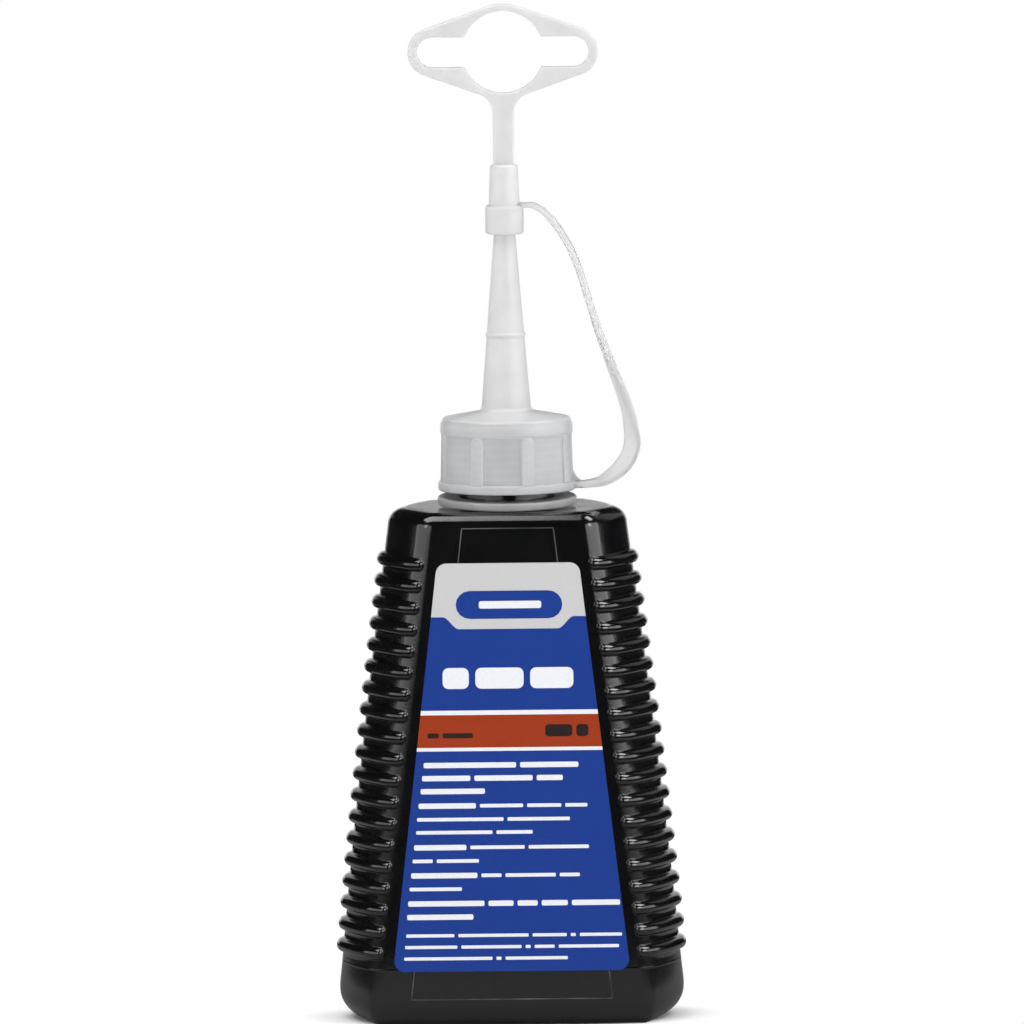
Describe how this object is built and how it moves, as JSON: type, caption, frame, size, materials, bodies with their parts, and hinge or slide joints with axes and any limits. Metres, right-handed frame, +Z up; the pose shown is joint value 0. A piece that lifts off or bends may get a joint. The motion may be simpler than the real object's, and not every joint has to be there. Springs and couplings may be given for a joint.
{
  "type": "powder lubricant bottle",
  "caption": "Tapered ribbed powder bottle with a screw cap, a long tapered nozzle, a captive tip closure on a strap and a flat hanger.",
  "frame": {"origin": "centre of the flat foot of the bottle, on the surface it stands on", "axes": "+Z up along the neck and nozzle axis, -Y towards the label side, +X towards the side of the tether strap"},
  "size_m": [0.0656, 0.0326, 0.1898],
  "materials": {
    "black_pe": "gloss",
    "natural_pe": "satin",
    "label_film": "satin",
    "graphite": "matte"
  },
  "bodies": {
    "bottle_body": {"bottle": "black_pe", "front_label": "label_film", "graphite_powder": "graphite"},
    "ring_body": {"neck_ring": "natural_pe"},
    "cap_body": {"nozzle_cap": "natural_pe", "tether_strap": "natural_pe"},
    "closure_body": {"tip_closure": "natural_pe"}
  },
  "joints": [
    {"name": "cap_turn", "type": "hinge", "parent": "bottle_body", "child": "ring_body", "pos_m": [0, 0, 0.0969], "axis": [0, 0, 1], "range_deg": [0, 1080]},
    {"name": "cap_rise", "type": "slide", "parent": "ring_body", "child": "cap_body", "axis": [0, 0, 1], "range_m": [0, 0.009]},
    {"name": "closure_pull", "type": "slide", "parent": "cap_body", "child": "closure_body", "axis": [0, 0, 1], "range_m": [0, 0.013], "deforming": ["tether_strap"]}
  ],
  "couplings": [
    {"joint": "cap_rise", "follows": "cap_turn", "m_per_rad": 0.00047746}
  ]
}
